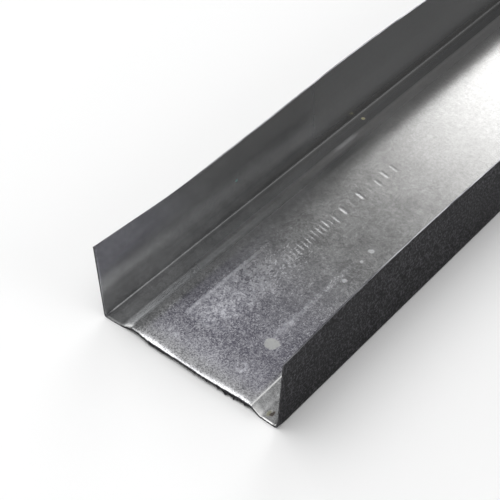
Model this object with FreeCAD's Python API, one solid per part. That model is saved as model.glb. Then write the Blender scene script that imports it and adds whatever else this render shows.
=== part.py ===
"""Drywall track: one length of galvanised steel channel, roll formed from a single strip.

The track lies on its web with the flanges up. X runs across the web, Y along the length and Z up,
with the origin on the floor under the middle of the track. Lengths are in millimetres.
"""
import FreeCAD
import Part
import math
import os

# Stock
LENGTH = 3000.0
SHEET = 0.5

# Section, over the outside of the folded sheet
WEB_WIDTH = 76.0
FLANGE_HEIGHT = 32.0
FOLD_RADIUS = 0.5        # inside the fold between the web and a flange

# Web: a low foot beside each flange, a ramp, and a raised panel between the ramps
FOOT_WIDTH = 7.8
RAMP_WIDTH = 4.5
PANEL_RISE = 1.75
RAMP_FOOT_RADIUS = 6.0   # inside the wide bend where a ramp leaves the foot
RAMP_HEAD_RADIUS = 1.2   # inside the tight bend where a ramp meets the panel

# Cut ends: the flanges spring apart, and the shear draws the edge of the panel down
END_SPREAD = 1.8         # outward, at a flange's free edge
SPREAD_LENGTH = 80.0
SHEAR_DROP = 0.6
SHEAR_LENGTH = 3.0
SHEAR_STEPS = 3
SPREAD_STEPS = 4

NODE = "drywall_track"


def easing(distance, reach):
    """1 at the cut, falling smoothly to 0 at the reach."""
    return max(0.0, 1.0 - distance / reach) ** 2


def corner_points(spread, drop):
    """Sharp corners of the sheet's underside, from one free edge across the web to the other."""
    flange_foot = WEB_WIDTH / 2
    ramp_foot = flange_foot - FOOT_WIDTH
    panel_edge = ramp_foot - RAMP_WIDTH
    panel_height = PANEL_RISE - drop
    right_half = [
        (panel_edge, panel_height),
        (ramp_foot, 0.0),
        (flange_foot, 0.0),
        (flange_foot + spread, FLANGE_HEIGHT),
    ]
    left_half = [(-x, z) for x, z in reversed(right_half)]
    return [FreeCAD.Vector(x, 0.0, z) for x, z in left_half + right_half]


def run_direction(start, end):
    return (end - start).normalize()


def left_of(direction):
    """The normal that points into the channel as the line is followed from left to right."""
    return FreeCAD.Vector(-direction.z, 0.0, direction.x)


def mitred_offset(corners, distance):
    """The line moved towards the inside of the channel, with its corners kept sharp."""
    runs = [run_direction(a, b) for a, b in zip(corners, corners[1:])]
    moved = [corners[0] + left_of(runs[0]) * distance]
    for corner, before, after in zip(corners[1:], runs, runs[1:]):
        bisector = left_of(before) + left_of(after)
        moved.append(corner + bisector * (2 * distance / bisector.Length ** 2))
    moved.append(corners[-1] + left_of(runs[-1]) * distance)
    return moved


def rounded_line(corners, radii):
    """Straight runs joined by tangent arcs, one radius for each inner corner."""
    edges = []
    start = corners[0]
    for before, corner, after, radius in zip(corners, corners[1:], corners[2:], radii):
        into = run_direction(before, corner)
        out = run_direction(corner, after)
        turn = into.getAngle(out)
        setback = radius * math.tan(turn / 2)
        arc_start = corner - into * setback
        arc_end = corner + out * setback
        to_centre = (out - into).normalize()
        centre_distance = radius / math.cos(turn / 2)
        arc_middle = corner + to_centre * (centre_distance - radius)
        edges.append(Part.LineSegment(start, arc_start).toShape())
        edges.append(Part.Arc(arc_start, arc_middle, arc_end).toShape())
        start = arc_end
    edges.append(Part.LineSegment(start, corners[-1]).toShape())
    return edges


def section(y, spread=0.0, drop=0.0):
    """Closed outline of the folded sheet at one place along the track."""
    under = corner_points(spread, drop)
    upper = mitred_offset(under, SHEET)
    # Folds and ramp feet close upwards, and ramp heads close downwards.
    under_half = [FOLD_RADIUS + SHEET, RAMP_FOOT_RADIUS + SHEET, RAMP_HEAD_RADIUS]
    upper_half = [FOLD_RADIUS, RAMP_FOOT_RADIUS, RAMP_HEAD_RADIUS + SHEET]
    under_radii = under_half + under_half[::-1]
    upper_radii = upper_half + upper_half[::-1]
    outline = rounded_line(under, under_radii)
    outline.append(Part.LineSegment(under[-1], upper[-1]).toShape())
    outline += rounded_line(upper[::-1], upper_radii[::-1])
    outline.append(Part.LineSegment(upper[0], under[0]).toShape())
    wire = Part.Wire(outline)
    wire.translate(FreeCAD.Vector(0.0, y, 0.0))
    return wire


def end_stations():
    """Distances from a cut end, close together where the shear drew the sheet down."""
    shear = [SHEAR_LENGTH * i / SHEAR_STEPS for i in range(SHEAR_STEPS + 1)]
    spread = [
        SHEAR_LENGTH + (SPREAD_LENGTH - SHEAR_LENGTH) * i / SPREAD_STEPS
        for i in range(1, SPREAD_STEPS + 1)
    ]
    return shear, spread


def sprung_end(side):
    """The stretch at one cut end, lofted from the cut to where the section runs true."""
    shear, spread = end_stations()
    lofts = []
    for distances in (shear, shear[-1:] + spread):
        wires = [
            section(
                side * (LENGTH / 2 - distance),
                END_SPREAD * easing(distance, SPREAD_LENGTH),
                SHEAR_DROP * easing(distance, SHEAR_LENGTH),
            )
            for distance in distances
        ]
        lofts.append(Part.makeLoft(wires, True, True))
    return lofts


def true_run():
    """The straight stretch between the two sprung ends."""
    half = LENGTH / 2 - SPREAD_LENGTH
    return Part.Face(section(-half)).extrude(FreeCAD.Vector(0.0, 2 * half, 0.0))


def track():
    pieces = sprung_end(-1) + sprung_end(1)
    return true_run().fuse(pieces).removeSplitter()


def main():
    os.makedirs("parts", exist_ok=True)
    shape = track()
    shape.exportStep(os.path.join("parts", NODE + ".step"))
    print(NODE, "solids", len(shape.Solids), "valid", shape.isValid(), "volume", round(shape.Volume, 1))
    print("box", shape.BoundBox)


main()
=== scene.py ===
"""Drywall track: the looks of one length of galvanised steel channel, on a pale floor.

The frame is that of the solids: X across the web, Y along the track, Z up. The end that the camera looks at
is the near end, at the lowest Y, and distances along the track are measured from it. Shapes are in metres.
Marks on the zinc are in millimetres across the web, from the near end and above the floor.
"""
import math
from collections import namedtuple

import bpy
import numpy as np
from mathutils import Matrix, Vector


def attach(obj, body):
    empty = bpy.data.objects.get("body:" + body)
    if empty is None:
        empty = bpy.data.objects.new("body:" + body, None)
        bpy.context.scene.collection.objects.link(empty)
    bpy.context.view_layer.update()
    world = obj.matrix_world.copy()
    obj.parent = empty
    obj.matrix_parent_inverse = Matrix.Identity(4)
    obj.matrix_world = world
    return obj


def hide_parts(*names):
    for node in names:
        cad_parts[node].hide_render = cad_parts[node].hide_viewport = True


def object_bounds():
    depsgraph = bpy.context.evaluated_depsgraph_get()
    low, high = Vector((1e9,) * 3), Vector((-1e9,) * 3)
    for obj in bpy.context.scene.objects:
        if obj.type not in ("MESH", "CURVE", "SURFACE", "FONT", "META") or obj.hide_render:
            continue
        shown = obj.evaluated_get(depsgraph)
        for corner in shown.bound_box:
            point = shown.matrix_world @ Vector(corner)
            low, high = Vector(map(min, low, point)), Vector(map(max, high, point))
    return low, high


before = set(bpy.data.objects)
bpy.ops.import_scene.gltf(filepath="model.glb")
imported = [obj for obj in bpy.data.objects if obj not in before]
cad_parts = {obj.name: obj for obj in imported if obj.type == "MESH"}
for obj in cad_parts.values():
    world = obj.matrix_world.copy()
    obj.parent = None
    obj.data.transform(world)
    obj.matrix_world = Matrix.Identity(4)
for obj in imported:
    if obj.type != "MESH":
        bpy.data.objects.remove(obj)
NODE = "drywall_track"
CAD_LOW, CAD_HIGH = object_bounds()
NEAR_END = CAD_LOW.y
LENGTH = CAD_HIGH.y - CAD_LOW.y

MM = 0.001

# Section, over the outside of the folded sheet
SHEET = 0.5 * MM
WEB_WIDTH = 76.0 * MM
FLANGE_HEIGHT = 32.0 * MM
FOLD_RADIUS = 0.5 * MM
FOOT_WIDTH = 7.8 * MM
RAMP_WIDTH = 4.5 * MM
PANEL_RISE = 1.75 * MM
RAMP_FOOT_RADIUS = 6.0 * MM
RAMP_HEAD_RADIUS = 1.2 * MM
RAMP_FOOT = WEB_WIDTH / 2 - FOOT_WIDTH
PANEL_EDGE = RAMP_FOOT - RAMP_WIDTH

# Steps along each stretch of the section
FLANGE_STEPS = 14
FOLD_STEPS = 8
FOOT_STEPS = 6
BEND_STEPS = 6
RAMP_STEPS = 3
PANEL_STEPS = 150
# Angle between two faces from which their edge is sharp, in degrees
SHARP_ANGLE = 50

# Stations along the track, as distances from the near end or from either cut
CUT_STATIONS = np.array([0.0, 0.1, 0.25, 0.45, 0.7, 1.0, 1.3, 1.6, 2.0, 2.4, 2.8, 3.3, 4.0, 5.2]) * MM
NEAR_STATIONS = np.arange(8.0, 260.0, 5.0) * MM
FAR_STATIONS = np.arange(8.0, 100.0, 10.0) * MM
MIDDLE_STATIONS = 60

# Lean of the flanges, outward at a free edge: spring at the cuts, a pinch, a bow of each and a slight wave
END_SPREAD = 1.7 * MM
SPREAD_LENGTH = 80.0 * MM
PINCH_DEPTH, PINCH_PLACE, PINCH_REACH = 0.75 * MM, 36.0 * MM, 21.0 * MM
LEFT_BOW, LEFT_BOW_PLACE, LEFT_BOW_REACH = 1.9 * MM, 145.0 * MM, 55.0 * MM
RIGHT_BOW, RIGHT_BOW_PLACE, RIGHT_BOW_REACH = 1.4 * MM, 165.0 * MM, 60.0 * MM
WAVE_DEPTH = 0.25 * MM
WAVE_LENGTHS = (310.0 * MM, 173.0 * MM)
LEFT_WAVE_SHIFTS = (0.0, 1.0)
RIGHT_WAVE_SHIFTS = (2.0, 0.0)
WAVE_START = 180.0 * MM

# Cut ends: the shear draws the sheet over its edge, more in some stretches than in others
PANEL_DRAW = 0.13 * MM
PANEL_DRAW_LENGTH = 3.2 * MM
PANEL_DRAW_END = 1.6 * MM
EDGE_DRAW = 0.1 * MM
EDGE_DRAW_LENGTH = 0.9 * MM
# Place across the web, reach and depth of the stretches that are drawn further, in millimetres
DRAWN_FURTHER = ((-27.5, 2.5, 0.35), (-16.0, 8.0, 0.27), (19.0, 9.0, 0.27))
# Depth of each set-back of the cut, and where across the web it starts, is full and ends, in millimetres
SETBACKS = ((0.55, -17.0, -24.5, -36.0), (0.9, 4.0, 25.5, 31.0), (0.33, 25.5, 30.0, 60.0))
SETBACK_LENGTH = 6.0 * MM
CORNER_RADIUS = 2.2 * MM
CORNER_LENGTH = 5.0 * MM

# Burr that the shear left under a cut edge
BURR_DEPTH = 0.03 * MM
BURR_RIPPLE = 0.22 * MM
BURR_SEED = 7
BURR_KNOTS = 150
BURR_EVEN = 0.45         # share of a hanging burr's depth that isn't ragged
BURR_CLEARANCE = 0.1 * MM
BURR_LEAN = 0.55
# Place across the web, half width and depth of each hanging burr, in millimetres
BURRS = (
    (-16.8, 1.2, 0.2), (-13.0, 4.5, 0.3), (-11.2, 1.3, 0.2), (3.0, 0.5, 0.3), (8.3, 0.5, 0.35),
    (12.8, 0.6, 0.45), (16.2, 0.9, 0.9), (19.6, 0.7, 0.55), (21.0, 5.0, 0.35), (24.2, 0.7, 0.3),
)

# Material slots of the sheet
INSIDE, OUTSIDE, SLIT, SHEARED = range(4)


def bell(distance, place, reach):
    """1 at the place, falling to 0 on both sides."""
    return np.exp(-((distance - place) / reach) ** 2)


def easing(distance, reach, power=2):
    """1 at the cut, falling smoothly to 0 at the reach."""
    return np.clip(1.0 - distance / reach, 0.0, 1.0) ** power


def smooth(value):
    """Goes smoothly from 0 to 1 as the value does."""
    value = np.clip(value, 0.0, 1.0)
    return value * value * (3.0 - 2.0 * value)


def section_corners():
    """Sharp corners of the middle of the sheet, from the left free edge to the right one."""
    half = SHEET / 2
    flange = WEB_WIDTH / 2 - half
    right = [(PANEL_EDGE, PANEL_RISE + half), (RAMP_FOOT, half), (flange, half), (flange, FLANGE_HEIGHT)]
    left = [(-x, z) for x, z in reversed(right)]
    return [np.array(corner) for corner in left + right]


def bend(before, corner, after, radius, steps):
    """Points on the arc that rounds one corner."""
    into = (corner - before) / np.linalg.norm(corner - before)
    out = (after - corner) / np.linalg.norm(after - corner)
    turn = math.acos(float(np.clip(into @ out, -1.0, 1.0)))
    to_centre = (out - into) / np.linalg.norm(out - into)
    centre = corner + to_centre * radius / math.cos(turn / 2)
    start = corner - into * radius * math.tan(turn / 2) - centre
    side = math.copysign(1.0, into[0] * out[1] - into[1] * out[0])
    points = []
    for i in range(steps + 1):
        angle = side * turn * i / steps
        c, s = math.cos(angle), math.sin(angle)
        points.append(centre + np.array([c * start[0] - s * start[1], s * start[0] + c * start[1]]))
    return points


def section_middle():
    """Points along the middle of the sheet."""
    corners = section_corners()
    inside_radii = (FOLD_RADIUS, RAMP_FOOT_RADIUS, RAMP_HEAD_RADIUS)
    fold, foot, head = (radius + SHEET / 2 for radius in inside_radii)
    radii = [fold, foot, head, head, foot, fold]
    bends = [FOLD_STEPS, BEND_STEPS, BEND_STEPS, BEND_STEPS, BEND_STEPS, FOLD_STEPS]
    runs = [FLANGE_STEPS, FOOT_STEPS, RAMP_STEPS, PANEL_STEPS, RAMP_STEPS, FOOT_STEPS, FLANGE_STEPS]
    arcs = [bend(*corners[i:i + 3], radii[i], bends[i]) for i in range(len(radii))]
    points = [corners[0]]
    for run, arc in zip(runs, arcs + [[corners[-1]]]):
        start, end = points[-1], arc[0]
        points += [start + (end - start) * k / run for k in range(1, run)]
        points += arc
    return np.array(points)


def section_normals(points):
    """Unit normals that point into the channel."""
    along = np.gradient(points, axis=0)
    along /= np.linalg.norm(along, axis=1)[:, None]
    return np.column_stack([-along[:, 1], along[:, 0]])


def stations():
    """Distances from the near end, close together at the cuts and along the near stretch."""
    far = LENGTH - FAR_STATIONS[::-1]
    middle = np.linspace(NEAR_STATIONS[-1], far[0], MIDDLE_STATIONS + 2)[1:-1]
    return np.concatenate([CUT_STATIONS, NEAR_STATIONS, middle, far, LENGTH - CUT_STATIONS[::-1]])


def flange_wave(distance, shifts):
    """Slight wave of one flange, from where the cuts no longer stiffen it."""
    from_cut = np.minimum(distance, LENGTH - distance)
    fade = smooth((from_cut - WAVE_START) / WAVE_START)
    waves = [np.sin(2 * math.pi * distance / length + shift) for length, shift in zip(WAVE_LENGTHS, shifts)]
    return WAVE_DEPTH * fade * sum(waves)


def flange_lean(distance):
    """Outward lean of the left and the right free edge along the track."""
    spring = END_SPREAD * easing(np.minimum(distance, LENGTH - distance), SPREAD_LENGTH)
    left = spring + flange_wave(distance, LEFT_WAVE_SHIFTS)
    right = spring + flange_wave(distance, RIGHT_WAVE_SHIFTS)
    left -= PINCH_DEPTH * bell(distance, PINCH_PLACE, PINCH_REACH)
    left += LEFT_BOW * bell(distance, LEFT_BOW_PLACE, LEFT_BOW_REACH)
    right += RIGHT_BOW * bell(distance, RIGHT_BOW_PLACE, RIGHT_BOW_REACH)
    return left, right


def burr_line(x):
    """Ragged depth of the burr under a cut edge, and how far it leans out of the cut."""
    rng = np.random.default_rng(BURR_SEED)
    knots = np.linspace(-WEB_WIDTH / 2, WEB_WIDTH / 2, BURR_KNOTS)
    ragged = np.interp(x, knots, rng.random(BURR_KNOTS))
    depth = BURR_RIPPLE * ragged ** 2
    for place, half_width, burr in BURRS:
        uneven = BURR_EVEN + (1.0 - BURR_EVEN) * ragged
        depth += burr * MM * bell(x, place * MM, half_width * MM) * uneven
    on_panel = smooth((RAMP_FOOT - np.abs(x)) / RAMP_WIDTH)
    return (BURR_DEPTH + depth) * on_panel, depth * on_panel * BURR_LEAN


def shear_draw(x, from_cut):
    """How far the sheet is drawn towards its underside near a cut."""
    on_left = smooth((RAMP_FOOT + x) / RAMP_WIDTH)
    on_right = smooth((PANEL_EDGE - x) / PANEL_DRAW_END + 0.5)
    further = [more * MM * bell(x, place * MM, reach * MM) for place, reach, more in DRAWN_FURTHER]
    panel = (PANEL_DRAW + sum(further)) * on_left * on_right * easing(from_cut, PANEL_DRAW_LENGTH, power=3)
    return panel + EDGE_DRAW * easing(from_cut, EDGE_DRAW_LENGTH)


def cut_setback(x, from_cut):
    """How far back from its straight line the cut lies beside the ramps."""
    total = 0.0
    for depth, start, full, end in SETBACKS:
        begun = smooth((x / MM - start) / (full - start))
        total = total + depth * MM * begun * smooth((end - x / MM) / (end - full))
    return total * easing(from_cut, SETBACK_LENGTH)


def rounded_corner(x, z, depth, from_cut):
    """The right fold opened to a wider round at a cut, for points at one depth in the sheet."""
    out, down = x - (WEB_WIDTH / 2 - CORNER_RADIUS), CORNER_RADIUS - z
    reach = np.hypot(out, down)
    in_corner = (out > 0) & (down > 0)
    excess = np.where(in_corner, np.maximum(reach - (CORNER_RADIUS - depth), 0.0), 0.0)
    pull = excess / np.maximum(reach, SHEET) * easing(from_cut, CORNER_LENGTH)
    return x - out * pull, z + down * pull


def shaped(layer, inward, distance, depth):
    """Points of one side of the sheet at all stations, with the lean and the shear in them."""
    shape = (len(distance), len(layer))
    section_x = np.broadcast_to(layer[:, 0], shape)
    section_z = np.broadcast_to(layer[:, 1], shape)
    along = np.broadcast_to(distance[:, None], shape)
    from_cut = np.minimum(along, LENGTH - along)
    draw = shear_draw(section_x, from_cut)
    left, right = flange_lean(distance)
    height = np.clip(section_z / FLANGE_HEIGHT, 0.0, 1.0)
    on_flange = smooth((np.abs(section_x) - (WEB_WIDTH / 2 - 2 * FOLD_RADIUS)) / FOLD_RADIUS)
    lean = np.where(section_x < 0, -left[:, None], right[:, None]) * height * on_flange
    round_x, round_z = rounded_corner(section_x, section_z, depth, from_cut)
    x = round_x + lean - draw * inward[:, 0]
    z = np.maximum(round_z - draw * inward[:, 1], 0.0)
    inwards = np.where(along < LENGTH / 2, 1.0, -1.0)
    y = NEAR_END + along + inwards * cut_setback(section_x, from_cut)
    return np.stack([x, y, z], axis=2)


def hang_burrs(under):
    """Draws the lower edge of both cuts out into the burr."""
    for station, outward in ((0, -1.0), (-1, 1.0)):
        depth, lean = burr_line(under[station, :, 0])
        hanging = np.maximum(under[station, :, 2] - depth, BURR_CLEARANCE)
        under[station, :, 2] = np.minimum(under[station, :, 2], hanging)
        under[station, :, 1] += outward * lean


def sheet_points():
    """A row of points for each station, over the inside from left to right and back along the outside."""
    middle = section_middle()
    inward = section_normals(middle)
    distance = stations()
    upper = shaped(middle + inward * SHEET / 2, inward, distance, SHEET)
    under = shaped(middle - inward * SHEET / 2, inward, distance, 0.0)
    hang_burrs(under)
    return np.concatenate([upper, under[:, ::-1]], axis=1)


def sheet_faces(rows, count):
    """Faces between neighbouring rows and over both cuts, and the material slot of each."""
    half = count // 2
    index = np.arange(rows * count).reshape(rows, count)
    after = np.roll(index, -1, axis=1)
    sides = np.stack([index[:-1], after[:-1], after[1:], index[1:]], axis=2).reshape(-1, 4)
    column_slots = np.full(count, INSIDE)
    column_slots[half:] = OUTSIDE
    column_slots[[half - 1, count - 1]] = SLIT
    cuts = []
    for row, flip in ((index[0], True), (index[-1], False)):
        top, bottom = row[:half], row[half:][::-1]
        quads = np.stack([top[:-1], top[1:], bottom[1:], bottom[:-1]], axis=1)
        cuts.append(quads[:, ::-1] if flip else quads)
    slots = np.concatenate([np.tile(column_slots, rows - 1), np.full(2 * (half - 1), SHEARED)])
    return np.concatenate([sides] + cuts), slots


def track_mesh():
    points = sheet_points()
    faces, slots = sheet_faces(*points.shape[:2])
    mesh = bpy.data.meshes.new("drywall_track_sheet")
    mesh.from_pydata(points.reshape(-1, 3).tolist(), [], faces.tolist())
    mesh.polygons.foreach_set("material_index", slots.astype(np.int32))
    mesh.polygons.foreach_set("use_smooth", np.ones(len(faces), dtype=bool))
    mesh.set_sharp_from_angle(angle=math.radians(SHARP_ANGLE))
    mesh.update()
    return mesh


# How strong a mark is in one direction: full from low to high with soft ends, or going from start to end
Band = namedtuple("Band", "low high soft")
Change = namedtuple("Change", "low high start end", defaults=(0.0, 1.0))
# A mark that is bounded in two directions, mostly across the web and along the track
Patch = namedtuple("Patch", "across along strength", defaults=(1.0,))


class Nodes:
    """Adds nodes to a material or a world and links them.

    A value is a number, a colour, a direction or the output of another node.
    """

    def __init__(self, owner):
        owner.use_nodes = True
        self.owner = owner
        self.tree = owner.node_tree

    def put(self, value, socket):
        if isinstance(value, bpy.types.NodeSocket):
            self.tree.links.new(value, socket)
        else:
            socket.default_value = value

    def math(self, operation, first, second=0.0):
        node = self.tree.nodes.new("ShaderNodeMath")
        node.operation = operation
        self.put(first, node.inputs[0])
        self.put(second, node.inputs[1])
        return node.outputs[0]

    def vector_math(self, operation, first, second):
        node = self.tree.nodes.new("ShaderNodeVectorMath")
        node.operation = operation
        self.put(first, node.inputs[0])
        self.put(second, node.inputs[1])
        return node.outputs

    def add(self, *values):
        total = values[0]
        for value in values[1:]:
            total = self.math("ADD", total, value)
        return total

    def less(self, first, second):
        return self.math("SUBTRACT", first, second)

    def times(self, *values):
        total = values[0]
        for value in values[1:]:
            total = self.math("MULTIPLY", total, value)
        return total

    def split(self, place):
        node = self.tree.nodes.new("ShaderNodeSeparateXYZ")
        self.put(place, node.inputs[0])
        return node.outputs

    def ramp(self, value, low, high, start=0.0, end=1.0):
        """Goes smoothly from start to end as the value goes from low to high."""
        node = self.tree.nodes.new("ShaderNodeMapRange")
        node.interpolation_type = "SMOOTHSTEP"
        self.put(value, node.inputs["Value"])
        for name, number in (("From Min", low), ("From Max", high), ("To Min", start), ("To Max", end)):
            node.inputs[name].default_value = number
        return node.outputs["Result"]


class Skin(Nodes):
    """Nodes of one of the sheet's materials, with the place on the track in millimetres."""

    def __init__(self, name):
        super().__init__(bpy.data.materials.new(name))
        self.shader = self.tree.nodes["Principled BSDF"]
        coordinates = self.tree.nodes.new("ShaderNodeTexCoord")
        mapping = self.tree.nodes.new("ShaderNodeMapping")
        self.put(coordinates.outputs["Object"], mapping.inputs["Vector"])
        mapping.inputs["Location"].default_value = (0.0, -NEAR_END / MM, 0.0)
        mapping.inputs["Scale"].default_value = (1 / MM, 1 / MM, 1 / MM)
        self.place = mapping.outputs["Vector"]
        self.x, self.y, self.z = self.split(self.place)

    def level(self, value, reach):
        """The strength of a Band or a Change at the value."""
        if isinstance(reach, Change):
            return self.ramp(value, *reach)
        low, high, soft = reach
        begun = self.ramp(value, low - soft, low + soft)
        return self.times(begun, self.ramp(value, high - soft, high + soft, 1.0, 0.0))

    def patch(self, across, along, patch):
        """The strength of a Patch."""
        return self.times(self.level(across, patch.across), self.level(along, patch.along), patch.strength)

    def swing(self, noise, gain):
        """A noise's swing about its middle, made larger or smaller."""
        return self.times(self.less(noise, 0.5), gain)

    def mix(self, factor, first, second):
        node = self.tree.nodes.new("ShaderNodeMixRGB")
        self.put(factor, node.inputs["Fac"])
        self.put(first, node.inputs["Color1"])
        self.put(second, node.inputs["Color2"])
        return node.outputs["Color"]

    def stretch(self, scale):
        """The place with its directions stretched."""
        return self.vector_math("MULTIPLY", self.place, scale)["Vector"]

    def turned(self, angle, scale):
        """The place stretched, then turned about Z."""
        node = self.tree.nodes.new("ShaderNodeMapping")
        self.put(self.place, node.inputs["Vector"])
        node.inputs["Rotation"].default_value = (0.0, 0.0, angle)
        node.inputs["Scale"].default_value = scale
        return node.outputs["Vector"]

    def noise(self, place, size, detail=2.0, roughness=0.5, distortion=0.0):
        """Soft noise whose features are about as wide as the size, in millimetres."""
        node = self.tree.nodes.new("ShaderNodeTexNoise")
        self.put(place, node.inputs["Vector"])
        node.inputs["Scale"].default_value = 1.0 / size
        node.inputs["Detail"].default_value = detail
        node.inputs["Roughness"].default_value = roughness
        node.inputs["Distortion"].default_value = distortion
        return node.outputs["Fac"]

    def chance(self, value):
        """One random number for each whole value."""
        node = self.tree.nodes.new("ShaderNodeTexWhiteNoise")
        node.noise_dimensions = "1D"
        self.put(self.math("FLOOR", value), node.inputs["W"])
        return node.outputs["Value"]

    def spot(self, place, centre, radius, soft, ragged=0.0):
        """1 inside a round mark, falling to 0 over its soft edge."""
        distance = self.vector_math("DISTANCE", place, centre)["Value"]
        return self.ramp(self.add(distance, ragged), radius - soft, radius + soft, 1.0, 0.0)

    def bump(self, height, depth):
        node = self.tree.nodes.new("ShaderNodeBump")
        node.inputs["Distance"].default_value = depth
        self.put(height, node.inputs["Height"])
        self.put(node.outputs["Normal"], self.shader.inputs["Normal"])

    def finish(self, colour, roughness, metallic=1.0):
        self.put(colour, self.shader.inputs["Base Color"])
        self.put(roughness, self.shader.inputs["Roughness"])
        self.put(metallic, self.shader.inputs["Metallic"])
        return self.owner


# Colours
ZINC_DARK = (0.20, 0.202, 0.205, 1.0)
ZINC_LIGHT = (0.69, 0.695, 0.70, 1.0)
BLUISH_DARK = (0.185, 0.18, 0.225, 1.0)
BLUISH_LIGHT = (0.69, 0.69, 0.74, 1.0)
ZINC_WARM = (0.445, 0.44, 0.43, 1.0)
ZINC_COOL = (0.42, 0.425, 0.435, 1.0)
BLOOM = (0.60, 0.61, 0.64, 1.0)
# pale zinc of burnished wear, also used for painted highlights
BURNISHED_AND_HIGHLIGHT = (0.95, 0.95, 0.94, 1.0)
PLASTER = (0.37, 0.375, 0.365, 1.0)
# painted dark: a dark reflection at a cut's rim, and shade in the fold's round beside it
PAINTED_DARK = (0.05, 0.05, 0.055, 1.0)
RUST = (0.03, 0.02, 0.014, 1.0)
RUST_STAIN = (0.13, 0.125, 0.05, 1.0)
GREASE = (0.40, 0.38, 0.23, 1.0)
PAINT = (0.16, 0.32, 0.30, 1.0)
# painted shade: the outside skin is near black
OUTSIDE_SHADE_DARK = (0.005, 0.005, 0.006, 1.0)
OUTSIDE_SHADE_PALE = (0.115, 0.113, 0.123, 1.0)
OUTSIDE_TINT = (0.7, 0.7, 0.7, 1.0)
SLIT_DARK = (0.08, 0.08, 0.09, 1.0)
# painted highlight on the slit edge
SLIT_HIGHLIGHT = (0.4, 0.4, 0.42, 1.0)
# painted shade on the sheared face
SHEARED_SHADE_DARK = (0.02, 0.02, 0.022, 1.0)
SHEARED_BRIGHT = (0.13, 0.13, 0.14, 1.0)

# Heights of the upper faces
PANEL_TOP = (PANEL_RISE + SHEET) / MM
FOOT_TOP = SHEET / MM

# Row of plain strokes that is rolled into the web. Widths are shares of the pitch, and depths go by chance.
Strokes = namedtuple("Strokes", "pitch along width depth")
FINE_STROKES = Strokes(2.2, Band(58.0, 86.0, 0.4), Band(0.34, 0.66, 0.2), Change(0.0, 1.0, 0.34, 0.64))
WIDE_STROKES = Strokes(5.3, Band(86.0, 128.0, 0.4), Band(0.38, 0.58, 0.12), Change(0.0, 0.8, 0.15, 0.9))
STROKE_ROW = Band(-8.0, -4.0, 0.9)
STROKE_SLANT = 0.19
STROKE_SHIFT = 1.6
STROKE_SHIFT_DRAW = 40.0     # added to a stroke's number, so that its shift is drawn apart from its depth
STROKE_PALE = 0.25


def stroke_marks(n):
    """A row of short slanted strokes: fine and close at first, then wide, sparse and uneven."""
    along = n.add(n.y, n.times(n.x, STROKE_SLANT))
    total = 0.0
    for strokes in (FINE_STROKES, WIDE_STROKES):
        cell = n.math("DIVIDE", along, strokes.pitch)
        width = n.level(n.math("FRACT", cell), strokes.width)
        depth = n.level(n.chance(cell), strokes.depth)
        total = n.add(total, n.times(width, depth, n.level(n.y, strokes.along)))
    fine_cell = n.math("DIVIDE", along, FINE_STROKES.pitch)
    shift = n.swing(n.chance(n.add(fine_cell, STROKE_SHIFT_DRAW)), STROKE_SHIFT)
    return n.times(total, n.level(n.add(n.x, shift), STROKE_ROW))


# Uneven outlines of the marks
RAGGED_SIZE, RAGGED_DEPTH = 2.6, 2.6
DRIFT_SIZE, DRIFT_STRETCH, DRIFT_DEPTH = 1.0, (0.1, 0.04, 0.1), 2.0

SCRAPE_ACROSS = Band(-17.0, -15.6, 0.45)
SCRAPE_START = Change(17.0, 18.2)
SCRAPE_FADE = Change(31.6, 72.0, 1.0, 0.0)
SCRAPE_DRIFT = 0.3
SCRAPE_STRENGTH = 0.36


def scrape(n, drift):
    """A pale scrape along the web, which starts sharply and fades."""
    across = n.level(n.add(n.x, n.times(drift, SCRAPE_DRIFT)), SCRAPE_ACROSS)
    return n.times(across, n.level(n.y, SCRAPE_START), n.level(n.y, SCRAPE_FADE), SCRAPE_STRENGTH)


SCUFF_LEFT = Change(-15.9, -14.9)
SCUFF_RIGHT = Change(-7.0, 3.0, 1.0, 0.0)
SCUFF_START = Change(15.0, 20.0)
SCUFF_FADE = Change(35.0, 66.0, 1.0, 0.0)
SCUFF_CLOUD = Change(0.36, 0.66, 0.3, 1.0)
SCUFF_STRENGTH = 0.26


def scuff(n, coarse, ragged):
    """A cloudy scuff that spreads to the right of the scrape."""
    across = n.times(n.level(n.x, SCUFF_LEFT), n.level(n.add(n.x, ragged), SCUFF_RIGHT))
    along = n.times(n.level(n.add(n.y, ragged), SCUFF_START), n.level(n.y, SCUFF_FADE))
    return n.times(across, along, n.level(coarse, SCUFF_CLOUD), SCUFF_STRENGTH)


STREAK_ACROSS = Band(13.1, 14.5, 1.3)
STREAK_ALONG = Band(29.0, 70.0, 8.0)
STREAK_CLOUD = Change(0.34, 0.7, 0.55, 1.0)
STREAK_DRIFT, STREAK_RAGGED = 0.2, 0.3
STREAK_STRENGTH = 0.28


def streak(n, drift, coarse, ragged):
    """A pale streak along the right side of the panel."""
    wander = n.add(n.x, n.times(drift, STREAK_DRIFT), n.times(ragged, STREAK_RAGGED))
    along = n.times(n.level(n.y, STREAK_ALONG), n.level(coarse, STREAK_CLOUD))
    return n.times(n.level(wander, STREAK_ACROSS), along, STREAK_STRENGTH)


FLECK_SIZE, FLECK_TURN, FLECK_STRETCH = 0.7, 0.6, (1.0, 0.5, 1.0)
FLECK_EDGE = Change(0.56, 0.7)
FLECKED_THICK = Patch(Band(-11.0, 0.0, 2.5), Band(20.0, 66.0, 9.0), 0.22)
FLECKED_THIN = Patch(Band(-24.0, 25.0, 2.0), Change(30.0, 110.0, 1.0, 0.3), 0.12)


def flecks(n):
    """Small pale flecks, strewn over the near stretch of the panel and thicker beside the scuff."""
    fleck = n.level(n.noise(n.turned(FLECK_TURN, FLECK_STRETCH), FLECK_SIZE), FLECK_EDGE)
    return n.times(fleck, n.add(n.patch(n.x, n.y, FLECKED_THICK), n.patch(n.x, n.y, FLECKED_THIN)))


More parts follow.
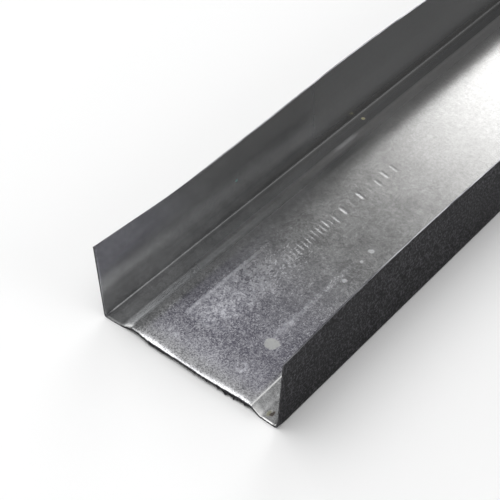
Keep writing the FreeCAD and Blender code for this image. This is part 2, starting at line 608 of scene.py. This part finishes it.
WATER_RING, WATER_RADIUS = (13.7, 11.3, PANEL_TOP), 2.3
WATER_RIM, WATER_SOFT, WATER_RAGGED = 0.9, 0.6, 0.25
WATER_SLANT = -0.3
WATER_SIDE = Change(8.0, 11.5, 0.3, 1.0)
WATER_STRENGTH = 0.36


def water_ring(n, ragged):
    """The dried rim of a drop of water, fainter on one side."""
    outer = n.spot(n.place, WATER_RING, WATER_RADIUS, WATER_SOFT, n.times(ragged, WATER_RAGGED))
    inner = n.spot(n.place, WATER_RING, WATER_RADIUS - WATER_RIM, WATER_SOFT)
    rim = n.math("MAXIMUM", n.less(outer, inner), 0.0)
    return n.times(rim, n.level(n.add(n.x, n.times(n.y, WATER_SLANT)), WATER_SIDE), WATER_STRENGTH)


# Smudge on the left foot
SMUDGE = Patch(Band(-31.4, -29.4, 0.9), Band(122.0, 134.0, 3.0), 0.3)
# Centre and radius of each small dried splash
SPLASHES = (
    ((14.7, 82.5, PANEL_TOP), 1.1), ((15.0, 76.1, PANEL_TOP), 0.8), ((16.0, 64.6, PANEL_TOP), 1.0),
    ((-19.1, 19.1, PANEL_TOP), 0.5), ((3.4, 32.3, PANEL_TOP), 0.5), ((-6.4, 25.6, PANEL_TOP), 0.6),
    ((-3.3, 25.8, PANEL_TOP), 0.4), ((-15.6, 8.3, PANEL_TOP), 0.5), ((-12.2, 8.6, PANEL_TOP), 0.9),
)
SPLASH_SOFT, SPLASH_RAGGED, SPLASH_STRENGTH = 0.5, 0.5, 0.28


def pale_marks(n, coarse):
    """Scrapes, scuffs, dried splashes and smudges on the web, from 0 where there are none to 1."""
    ragged = n.swing(n.noise(n.place, RAGGED_SIZE, detail=3.0), RAGGED_DEPTH)
    drift = n.swing(n.noise(n.stretch(DRIFT_STRETCH), DRIFT_SIZE), DRIFT_DEPTH)
    rubbed = n.add(scrape(n, drift), scuff(n, coarse, ragged), streak(n, drift, coarse, ragged))
    total = n.add(rubbed, n.patch(n.x, n.y, SMUDGE), flecks(n), water_ring(n, ragged))
    for centre, radius in SPLASHES:
        splash = n.spot(n.place, centre, radius, SPLASH_SOFT, n.times(ragged, SPLASH_RAGGED))
        total = n.add(total, n.times(splash, SPLASH_STRENGTH))
    return n.math("MINIMUM", total, 1.0)


# Strength of the crystals' grain up the flanges, across the web and at the cut
GRAIN_UP_FLANGE = Change(2.6, 5.0, 1.0, 0.3)
GRAIN_LEFT = Change(-27.0, -22.0, 0.25, 1.0)
GRAIN_RIGHT = Change(25.3, 26.3, 1.0, 0.4)
GRAIN_RIGHT_SIDE = Change(2.0, 10.0, 1.0, 0.82)
GRAIN_AT_CUT = Change(0.3, 1.2, 0.5, 1.0)
CALM_SIDE = Patch(Change(-21.0, -15.5, 0.55, 0.0), Change(10.0, 28.0))


def grain_strength(n):
    """How strongly the crystals show: most on the panel, and less on the ramps, feet and flanges."""
    on_panel = n.times(n.level(n.z, GRAIN_UP_FLANGE), n.level(n.x, GRAIN_LEFT), n.level(n.x, GRAIN_RIGHT))
    calm = n.less(1.0, n.patch(n.x, n.y, CALM_SIDE))
    return n.times(on_panel, n.level(n.y, GRAIN_AT_CUT), calm, n.level(n.x, GRAIN_RIGHT_SIDE))


# Painted light beside the cut, for the reflection there: on the left ramp and on the panel
LIT_LENGTH = Change(4.0, 18.0, 0.36, 0.0)
LIT_RAMP_START, LIT_RAMP_END = Change(-30.2, -28.0), Change(-27.1, -26.5, 1.0, 0.0)
LIT_PANEL_START, LIT_PANEL_END = Change(-25.0, -21.0), Change(16.0, 24.0, 1.0, 0.8)
# Painted light and painted shade further in, for reflections in the web and the ramps: across the web and
# along the track
PAINTED_SHADE_SIDE = Patch(Change(-25.0, -17.0, -0.1, 0.0), Band(50.0, 115.0, 22.0))
PAINTED_SHADE_RAMP_HEAD = Patch(Band(-26.4, -25.6, 0.35), Change(22.0, 40.0, -0.16, 0.0))
PAINTED_HIGHLIGHT_RAMP_LINE = Patch(Band(-27.7, -26.9, 0.25), Change(10.0, 70.0, 0.18, 0.04))
PAINTED_LIGHT_RAMP = Patch(Band(-29.8, -26.6, 0.6), Band(34.0, 92.0, 12.0), 0.17)
PAINTED_SHADE_RIGHT_RAMP = Change(25.5, 26.5, 0.0, -0.07)
# A band of painted light on the flanges, for a reflection: above the floor and along the track
FLANGE_PAINTED_LIGHT = Patch(Band(12.5, 17.5, 2.2), Change(10.0, 40.0, 0.42, 0.04))


def painted_light_and_shade(n):
    """Wide patches of painted light and painted shade on the zinc."""
    lit_ramp = n.times(n.level(n.x, LIT_RAMP_START), n.level(n.x, LIT_RAMP_END))
    lit = n.times(n.add(lit_ramp, n.level(n.x, LIT_PANEL_START)), n.level(n.x, LIT_PANEL_END))
    # painted light beside the cut
    total = n.times(n.level(n.y, LIT_LENGTH), lit)
    for shade in (PAINTED_SHADE_SIDE, PAINTED_SHADE_RAMP_HEAD, PAINTED_HIGHLIGHT_RAMP_LINE, PAINTED_LIGHT_RAMP):
        total = n.add(total, n.patch(n.x, n.y, shade))
    return n.add(total, n.patch(n.z, n.y, FLANGE_PAINTED_LIGHT), n.level(n.x, PAINTED_SHADE_RIGHT_RAMP))


# Swing of the zinc's tone with its fine grain, coarse grain, clouds and drawn lines
MIDDLE_TONE = 0.33
FINE_SWING, FINE_FADE = 3.4, Change(12.0, 75.0, 1.0, 0.33)
COARSE_SWING = 1.1
COARSE_UP_FLANGE = Change(2.6, 5.0, 1.0, 0.8)
COARSE_LEFT = Change(-27.0, -22.0, 0.5, 1.0)
CLOUD_SWING = 0.5
DRAWN_SIZE, DRAWN_STRETCH, DRAWN_SWING = 1.2, (1.0, 0.02, 1.0), 0.16


def zinc_tone(n, relief, grain, coarse, cloud):
    """Light and dark of the zinc's crystals: fine and strong near the cut, softer further in, with patches
    of painted light and shade added.
    """
    fine_tone = n.times(relief, n.swing(grain, FINE_SWING), n.level(n.y, FINE_FADE))
    coarse_strength = n.times(n.level(n.z, COARSE_UP_FLANGE), n.level(n.x, COARSE_LEFT))
    coarse_tone = n.times(n.swing(coarse, COARSE_SWING), coarse_strength)
    cloud_tone = n.times(n.swing(cloud, CLOUD_SWING), n.level(n.z, GRAIN_UP_FLANGE))
    drawn_tone = n.swing(n.noise(n.stretch(DRAWN_STRETCH), DRAWN_SIZE, detail=3.0), DRAWN_SWING)
    return n.add(MIDDLE_TONE, fine_tone, coarse_tone, cloud_tone, drawn_tone, painted_light_and_shade(n))


# Bluish zinc on the near stretch of the panel, and calmer zinc further in
BLUISH_START = Change(1.5, 9.0, 0.2, 1.0)
BLUISH_END = Change(20.0, 80.0, 1.0, 0.0)
BLUISH_ACROSS = Band(-22.0, 25.5, 1.5)
COOL_UP_FLANGE = Change(2.6, 5.0)
CALMER = Change(40.0, 140.0, 0.0, 0.65)


def zinc_colour(n, tone):
    """The zinc without its marks."""
    bluish = n.times(n.level(n.y, BLUISH_START), n.level(n.y, BLUISH_END), n.level(n.x, BLUISH_ACROSS))
    dark = n.mix(bluish, ZINC_DARK, BLUISH_DARK)
    light = n.mix(bluish, ZINC_LIGHT, BLUISH_LIGHT)
    calm = n.mix(n.level(n.z, COOL_UP_FLANGE), ZINC_WARM, ZINC_COOL)
    return n.mix(n.level(n.y, CALMER), n.mix(tone, dark, light), calm)


# Painted shade further in
PAINTED_SHADE_FOOT = Patch(Band(-36.5, -31.0, 0.4), Change(60.0, 110.0, 0.0, 0.5))
PAINTED_SHADE_STRIP = Patch(Band(-27.4, -22.8, 1.0), Band(100.0, 132.0, 18.0), 0.75)
PAINTED_SHADE_PANEL_EDGE = Patch(Band(-25.0, -21.5, 0.8), Band(72.0, 96.0, 14.0), 0.3)
FAR_FLANGE_PAINTED_SHADE = 0.4


def painted_far_shade(n, colour, far_flange):
    """The colour with painted shade on the left side of the web and on the flanges, further in."""
    dark = n.add(*(n.patch(n.x, n.y, shade) for shade in (PAINTED_SHADE_FOOT, PAINTED_SHADE_STRIP, PAINTED_SHADE_PANEL_EDGE)))
    colour = n.mix(dark, colour, ZINC_DARK)
    return n.mix(n.times(far_flange, FAR_FLANGE_PAINTED_SHADE), colour, ZINC_DARK)


# Painted shade in the folds and painted highlights along their sides: from the middle of the web, above the
# floor and along the track
FOLD = Patch(Change(34.8, 36.4), Change(1.2, 2.2, 1.0, 0.0))
FOLD_PAINTED_SHADE = Change(20.0, 50.0, 0.5, 0.62)
FOLD_UPPER = Change(0.75, 0.95)
FOLD_UPPER_LIGHT = Change(6.0, 30.0, 0.0, 0.5)
FOLD_ROUND = Patch(Change(36.85, 37.05), Change(1.0, 1.2, 1.0, 0.0))
FOLD_ROUND_PAINTED_DARK = Change(1.5, 4.5, 0.8, 0.0)
FOLD_SIDE = Patch(Change(36.9, 37.2), Band(0.8, 1.5, 0.3))
FOLD_SIDE_HIGHLIGHT = Change(20.0, 50.0, 0.0, 0.35)


def fold_painted_shade_and_highlight(n, colour, from_cut):
    """The colour with painted shade in the folds, darkest at their round beside the cut, and a painted
    highlight along their sides further in.
    """
    from_middle = n.math("ABSOLUTE", n.x)
    upper_light = n.times(n.level(n.y, FOLD_UPPER_LIGHT), n.level(n.z, FOLD_UPPER))
    dark = n.times(n.patch(from_middle, n.z, FOLD), n.less(n.level(n.y, FOLD_PAINTED_SHADE), upper_light))
    painted_dark_edge = n.times(n.patch(from_middle, n.z, FOLD_ROUND), n.level(from_cut, FOLD_ROUND_PAINTED_DARK))
    light = n.times(n.patch(from_middle, n.z, FOLD_SIDE), n.level(n.y, FOLD_SIDE_HIGHLIGHT))
    for shade, tint in ((dark, ZINC_DARK), (painted_dark_edge, PAINTED_DARK), (light, ZINC_LIGHT)):
        colour = n.mix(shade, colour, tint)
    return colour


# Painted highlights on the edges of the feet and the ramps at a cut, across the web and from the cut
PAINTED_HIGHLIGHT_EDGES = (
    Patch(Band(-36.8, -30.0, 0.5), Band(0.25, 0.75, 0.2), 0.8),
    Patch(Band(31.5, 37.0, 0.5), Band(0.25, 0.75, 0.2), 0.8),
    Patch(Band(-29.2, -26.2, 0.6), Change(0.8, 3.0, 0.95, 0.0)),
    Patch(Band(27.3, 31.0, 0.8), Change(1.0, 3.2, 0.8, 0.0)),
)
# Painted dark reflection along the rim of a cut, less of it on the left foot
DARK_RIM_SIZE, DARK_RIM_RAGGED = 1.3, 0.5
DARK_RIM_FADE = Change(0.1, 0.38, 1.0, 0.0)
DARK_RIM_LEFT = Change(-31.0, -28.0, 0.3, 1.0)


def distance_from_cut(n):
    """Millimetres from the nearer cut, with its set-backs."""
    distance = n.math("MINIMUM", n.y, n.less(LENGTH / MM, n.y))
    for depth, start, full, end in SETBACKS:
        begun = n.ramp(n.x, start, full, 0.0, depth)
        distance = n.less(distance, n.times(begun, n.ramp(n.x, full, end, 1.0, 0.0)))
    return distance


def painted_dark_rim(n, from_cut):
    """The rim of a cut, darkened with a painted dark reflection."""
    ragged = n.swing(n.noise(n.place, DARK_RIM_SIZE), DARK_RIM_RAGGED)
    return n.times(n.level(n.add(from_cut, ragged), DARK_RIM_FADE), n.level(n.x, DARK_RIM_LEFT))


# Spots: dried plaster on the panel, rust with its stain on the right foot, grease and paint on the left side
PLASTER_SPOT, PLASTER_RADIUS, PLASTER_SOFT = (15.1, 25.5, PANEL_TOP), 2.6, 0.25
PLASTER_RAGGED_SIZE, PLASTER_RAGGED = 2.4, 1.6
PLASTER_COVER = Change(0.3, 0.7, 0.7, 1.0)
PLASTER_DULL = 0.8
RUST_STRETCH = (1.0, 0.55, 1.0)
RUST_SPOT, RUST_RADIUS, RUST_SOFT = (33.1, 2.1, FOOT_TOP), 0.7, 0.2
STAIN_SPOT, STAIN_RADIUS, STAIN_SOFT, STAIN_STRENGTH = (32.1, 1.8, FOOT_TOP), 0.75, 0.4, 0.75
RUST_RAGGED_SIZE, RUST_RAGGED = 1.2, 0.96
GREASE_SPECK, GREASE_RADIUS, GREASE_SOFT = (-34.4, 145.0, FOOT_TOP), 0.8, 0.5
PAINT_SPECK, PAINT_RADIUS, PAINT_SOFT = (-37.5, 69.5, 15.5), 0.6, 0.4


def plaster_spot(n, grain):
    """A round spot of dried plaster that lets a little of the grain through."""
    ragged = n.swing(n.noise(n.place, PLASTER_RAGGED_SIZE, detail=1.0), PLASTER_RAGGED)
    spot = n.spot(n.place, PLASTER_SPOT, PLASTER_RADIUS, PLASTER_SOFT, ragged)
    return n.times(spot, n.level(grain, PLASTER_COVER))


def rust_spots(n):
    """The spot of rust and the stain beside it."""
    place = n.stretch(RUST_STRETCH)
    ragged = n.swing(n.noise(n.place, RUST_RAGGED_SIZE), RUST_RAGGED)
    rust = n.spot(place, RUST_SPOT, RUST_RADIUS, RUST_SOFT, ragged)
    stain = n.spot(place, STAIN_SPOT, STAIN_RADIUS, STAIN_SOFT, ragged)
    return rust, n.times(stain, STAIN_STRENGTH)


def spots(n, grain):
    """All spots in the order in which they lie on one another, with their colours and how dull they are."""
    rust, stain = rust_spots(n)
    grease = n.spot(n.place, GREASE_SPECK, GREASE_RADIUS, GREASE_SOFT)
    paint = n.spot(n.place, PAINT_SPECK, PAINT_RADIUS, PAINT_SOFT)
    return (
        (plaster_spot(n, grain), PLASTER, PLASTER_DULL),
        (stain, RUST_STAIN, 1.0),
        (rust, RUST, 1.0),
        (grease, GREASE, 1.0),
        (paint, PAINT, 1.0),
    )


# Zinc on the inside: widths of its grains and clouds, the burnished head of the right ramp with a painted
# highlight, and the finish
GRAIN_SIZE, COARSE_SIZE, CLOUD_SIZE = 0.5, 1.7, 9.0
BURNISHED_HIGHLIGHT_LINE = Band(PANEL_EDGE / MM + 0.4, PANEL_EDGE / MM + 0.8, 0.2)
FAR_FLANGE = Patch(Change(3.0, 6.0), Change(105.0, 130.0))
FAR_RAMP = Patch(Band(-31.6, -25.6, 0.5), Change(25.0, 55.0))
ZINC_ROUGHNESS = 0.19
CLOUD_ROUGHNESS = 0.08
MARK_ROUGHNESS = 0.25
DULL_ROUGHNESS = 0.2
GRAIN_ROUGHNESS = Change(20.0, 110.0, 0.07, 0.01)
BURNISHED_ROUGHNESS = 0.2
DARK_RIM_ROUGHNESS = 0.3
FAR_ROUGHNESS = 0.2
MARK_DULL = 0.55
GRAIN_RELIEF = Change(2.0, 5.0, 0.08, 0.04)
INSIDE_RELIEF = 0.06 * MM


def zinc_inside():
    """Zinc skin on the inside of the channel, with marks of use, painted light and painted shade."""
    n = Skin("zinc_inside")
    grain = n.noise(n.place, GRAIN_SIZE, roughness=0.6)
    coarse = n.noise(n.place, COARSE_SIZE, detail=3.0, roughness=0.6, distortion=0.9)
    cloud = n.noise(n.place, CLOUD_SIZE, detail=4.0, roughness=0.55)
    relief = grain_strength(n)
    strokes = stroke_marks(n)
    from_cut = distance_from_cut(n)
    far_flange = n.patch(n.z, n.y, FAR_FLANGE)
    burnished_highlight = n.level(n.x, BURNISHED_HIGHLIGHT_LINE)
    painted_dark_edge = painted_dark_rim(n, from_cut)
    marks = n.add(pale_marks(n, coarse), n.times(strokes, STROKE_PALE))

    colour = zinc_colour(n, zinc_tone(n, relief, grain, coarse, cloud))
    colour = fold_painted_shade_and_highlight(n, painted_far_shade(n, colour, far_flange), from_cut)
    # painted highlights: the burnished head of the right ramp and the edges at the cuts
    painted_highlight = n.add(burnished_highlight, *(n.patch(n.x, from_cut, edge) for edge in PAINTED_HIGHLIGHT_EDGES))
    colour = n.mix(marks, n.mix(painted_highlight, colour, BURNISHED_AND_HIGHLIGHT), BLOOM)
    dull = n.times(marks, MARK_DULL)
    for spot, tint, dullness in spots(n, grain):
        colour = n.mix(spot, colour, tint)
        dull = n.add(dull, n.times(spot, dullness))
    # painted dark reflection along the cut's rim
    colour = n.mix(painted_dark_edge, colour, PAINTED_DARK)
    dull = n.math("MINIMUM", dull, 1.0)

    far = n.add(far_flange, n.patch(n.x, n.y, FAR_RAMP))
    roughness = n.add(
        ZINC_ROUGHNESS,
        n.swing(cloud, CLOUD_ROUGHNESS),
        n.times(relief, n.level(n.y, GRAIN_ROUGHNESS)),
        n.times(marks, MARK_ROUGHNESS),
        n.times(dull, DULL_ROUGHNESS),
        n.times(burnished_highlight, BURNISHED_ROUGHNESS),
        n.times(painted_dark_edge, DARK_RIM_ROUGHNESS),
        n.times(far, FAR_ROUGHNESS),
    )
    rough_grain = n.times(relief, grain, n.level(from_cut, GRAIN_RELIEF))
    n.bump(n.less(rough_grain, strokes), INSIDE_RELIEF)
    return n.finish(colour, roughness, n.less(1.0, dull))


OUTSIDE_TONE = 0.17
OUTSIDE_GRAIN_SIZE, OUTSIDE_GRAIN_SWING, OUTSIDE_RELIEF = 0.8, 4.5, 0.02 * MM
OUTSIDE_CLOUD_SIZE, OUTSIDE_CLOUD_SWING = 14.0, 0.4
OUTSIDE_ROUGHNESS, OUTSIDE_ROUGHNESS_SWING = 0.44, 0.2


def zinc_outside():
    """The duller skin on the outside of the channel, with painted shade that makes it near black, and a fine
    pale grain.
    """
    n = Skin("zinc_outside")
    grain = n.noise(n.place, OUTSIDE_GRAIN_SIZE, roughness=0.6)
    cloud = n.noise(n.place, OUTSIDE_CLOUD_SIZE, detail=4.0, roughness=0.6)
    tone = n.add(OUTSIDE_TONE, n.swing(grain, OUTSIDE_GRAIN_SWING), n.swing(cloud, OUTSIDE_CLOUD_SWING))
    # near black: painted shade
    colour = n.mix(n.math("MAXIMUM", tone, 0.0), OUTSIDE_SHADE_DARK, OUTSIDE_SHADE_PALE)
    n.put(OUTSIDE_TINT, n.shader.inputs["Specular Tint"])
    n.bump(grain, OUTSIDE_RELIEF)
    return n.finish(colour, n.add(OUTSIDE_ROUGHNESS, n.swing(cloud, OUTSIDE_ROUGHNESS_SWING)))


SLIT_SIZE, SLIT_STRETCH = 0.6, (1.0, 0.05, 1.0)
SLIT_STREAKS = Change(0.35, 0.65)
SLIT_NEAR = Change(30.0, 65.0, 0.35, 1.0)
SLIT_ROUGHNESS, SLIT_ROUGHNESS_SWING = 0.25, 0.2


def slit_edge():
    """The narrow streaked edge that the slitter left along a flange, with a painted highlight that is weaker
    near the cut.
    """
    n = Skin("slit_edge")
    streaks = n.noise(n.stretch(SLIT_STRETCH), SLIT_SIZE, detail=3.0)
    # painted highlight, weaker near the cut
    painted_highlight = n.times(n.level(streaks, SLIT_STREAKS), n.level(n.y, SLIT_NEAR))
    colour = n.mix(painted_highlight, SLIT_DARK, SLIT_HIGHLIGHT)
    return n.finish(colour, n.add(SLIT_ROUGHNESS, n.times(streaks, SLIT_ROUGHNESS_SWING)))


TEAR_SIZE, TEAR_STRETCH, TEAR_RELIEF = 0.35, (1.0, 1.0, 0.2), 0.05 * MM
TEAR_EDGE = Change(0.45, 0.7)
TEAR_ROUGHNESS = 0.5


def sheared_edge():
    """The torn face of a cut end, near black with painted shade."""
    n = Skin("sheared_edge")
    tear = n.noise(n.stretch(TEAR_STRETCH), TEAR_SIZE, detail=3.0, roughness=0.6)
    n.bump(tear, TEAR_RELIEF)
    return n.finish(n.mix(n.level(tear, TEAR_EDGE), SHEARED_SHADE_DARK, SHEARED_BRIGHT), TEAR_ROUGHNESS)


def make_track():
    mesh = track_mesh()
    for skin in (zinc_inside, zinc_outside, slit_edge, sheared_edge):
        mesh.materials.append(skin())
    track = bpy.data.objects.new("drywall_track_sheet", mesh)
    bpy.context.scene.collection.objects.link(track)
    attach(track, "root")
    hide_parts(NODE)


FLOOR_REACH = 40.0
FLOOR_COLOUR = (0.88, 0.88, 0.88, 1.0)
FLOOR_ROUGHNESS = 0.9


def make_floor():
    mesh = bpy.data.meshes.new("floor")
    signs = ((-1, -1), (1, -1), (1, 1), (-1, 1))
    mesh.from_pydata([(FLOOR_REACH * a, FLOOR_REACH * b, 0.0) for a, b in signs], [], [(0, 1, 2, 3)])
    material = bpy.data.materials.new("floor")
    material.use_nodes = True
    shader = material.node_tree.nodes["Principled BSDF"]
    shader.inputs["Base Color"].default_value = FLOOR_COLOUR
    shader.inputs["Roughness"].default_value = FLOOR_ROUGHNESS
    shader.inputs["Specular IOR Level"].default_value = 0.0
    mesh.materials.append(material)
    floor = bpy.data.objects.new("floor", mesh)
    bpy.context.scene.collection.objects.link(floor)


# Soft lights of the studio: elevation, azimuth, inner and outer angle from the middle, strength
SOFTBOXES = (
    (64, -104, 12, 32, 1.9),
    (20, -20, 14, 23.5, 3.55),
    (60, -66, 4, 22, 0.36),
    (58, 18, 8, 30, 0.42),
    (68, -4, 4, 11, 0.15),
    (24, 75, 8, 19, 2.4),
    (17, -68, 5, 13, 6.0),
    (46, 60, 5, 20, 0.28),
    (40, 44, 10, 26, 0.05),
    (15, -52, 4, 12, 0.8),
    (75, 150, 12, 30, 2.0),
)
LIGHT_COLOUR = (1.0, 1.0, 1.0, 1.0)
ROOM_LIGHT = 0.215
HORIZON_LIGHT = 0.9
HORIZON_LOW, HORIZON_HIGH = 9.0, 16.0


def direction(elevation, azimuth):
    """Unit vector; azimuth 0 is +Y and grows towards +X."""
    e, a = math.radians(elevation), math.radians(azimuth)
    return (math.cos(e) * math.sin(a), math.cos(e) * math.cos(a), math.sin(e))


def make_world():
    """A dim room with a pale horizon and soft lights."""
    n = Nodes(bpy.data.worlds.new("studio"))
    bpy.context.scene.world = n.owner
    towards = n.tree.nodes.new("ShaderNodeTexCoord").outputs["Generated"]
    low, high = (math.sin(math.radians(angle)) for angle in (HORIZON_LOW, HORIZON_HIGH))
    total = n.ramp(n.split(towards)["Z"], low, high, HORIZON_LIGHT, ROOM_LIGHT)
    for elevation, azimuth, inner, outer, strength in SOFTBOXES:
        facing = n.vector_math("DOT_PRODUCT", towards, direction(elevation, azimuth))["Value"]
        edge, full = (math.cos(math.radians(angle)) for angle in (outer, inner))
        total = n.add(total, n.ramp(facing, edge, full, 0.0, strength))
    background = n.tree.nodes["Background"]
    n.put(LIGHT_COLOUR, background.inputs["Color"])
    n.put(total, background.inputs["Strength"])


CAMERA_PLACE = Vector((0.1839, -1.6875, 0.3088))
CAMERA_RIGHT = Vector((0.7671, 0.6415, -0.0005))
CAMERA_UP = Vector((-0.4460, 0.5339, 0.7183))
CAMERA_LENS = 88.3
CAMERA_NEAREST = 0.01


def make_camera():
    data = bpy.data.cameras.new("camera")
    data.lens = CAMERA_LENS
    data.clip_start = CAMERA_NEAREST
    camera = bpy.data.objects.new("camera", data)
    bpy.context.scene.collection.objects.link(camera)
    back = CAMERA_RIGHT.cross(CAMERA_UP).normalized()
    right = CAMERA_UP.cross(back).normalized()
    turn = Matrix((right, back.cross(right), back)).transposed()
    camera.matrix_world = Matrix.Translation(CAMERA_PLACE) @ turn.to_4x4()
    bpy.context.scene.camera = camera


bpy.context.scene.view_settings.view_transform = "Standard"
make_track()
make_floor()
make_world()
make_camera()
